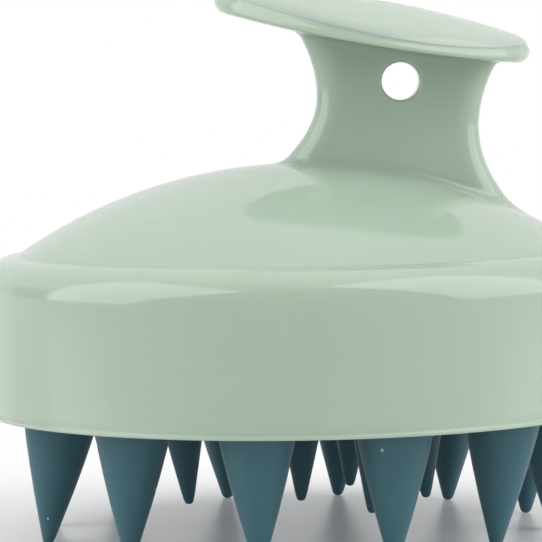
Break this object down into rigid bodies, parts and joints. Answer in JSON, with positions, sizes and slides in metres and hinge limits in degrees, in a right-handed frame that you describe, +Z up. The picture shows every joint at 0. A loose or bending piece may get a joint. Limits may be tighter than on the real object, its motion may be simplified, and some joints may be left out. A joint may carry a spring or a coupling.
{
  "type": "scalp massager brush",
  "caption": "Hand-held scalp massager brush: round domed plastic body with an offset tilted grip and hanging hole, over a clip-in silicone brush head.",
  "frame": {"origin": "the point below the centre of the round body on the plane that the outer bristle tips stand on", "axes": "+Z up from the bristle tips through the centre of the dome; +X towards the low end of the grip plate; the grip's length and the hanging web lie in the XZ plane"},
  "size_m": [0.0862, 0.0862, 0.0739],
  "materials": {
    "mint_shell": "glossy moulded mint green plastic",
    "mint_cap": "glossy moulded mint green plastic",
    "carrier_plastic": "plain moulded off-white plastic, out of sight when assembled",
    "teal_silicone": "satin dark teal silicone rubber"
  },
  "bodies": {
    "brush_head": {"bristle_pad": "teal_silicone", "carrier_disc": "carrier_plastic", "bristle_outer_01": "teal_silicone", "bristle_outer_02": "teal_silicone", "bristle_outer_03": "teal_silicone", "bristle_outer_04": "teal_silicone", "bristle_outer_05": "teal_silicone", "bristle_outer_06": "teal_silicone", "bristle_outer_07": "teal_silicone", "bristle_outer_08": "teal_silicone", "bristle_outer_09": "teal_silicone", "bristle_outer_10": "teal_silicone", "bristle_outer_11": "teal_silicone", "bristle_outer_12": "teal_silicone", "bristle_inner_01": "teal_silicone", "bristle_inner_02": "teal_silicone", "bristle_inner_03": "teal_silicone", "bristle_inner_04": "teal_silicone", "bristle_inner_05": "teal_silicone", "bristle_inner_06": "teal_silicone", "bristle_centre": "teal_silicone"},
    "handle_body": {"body_shell": "mint_shell", "grip_cap": "mint_cap"}
  },
  "joints": [
    {"name": "head_release", "type": "slide", "parent": "brush_head", "child": "handle_body", "axis": [0, 0, 1], "range_m": [0, 0.03]}
  ]
}
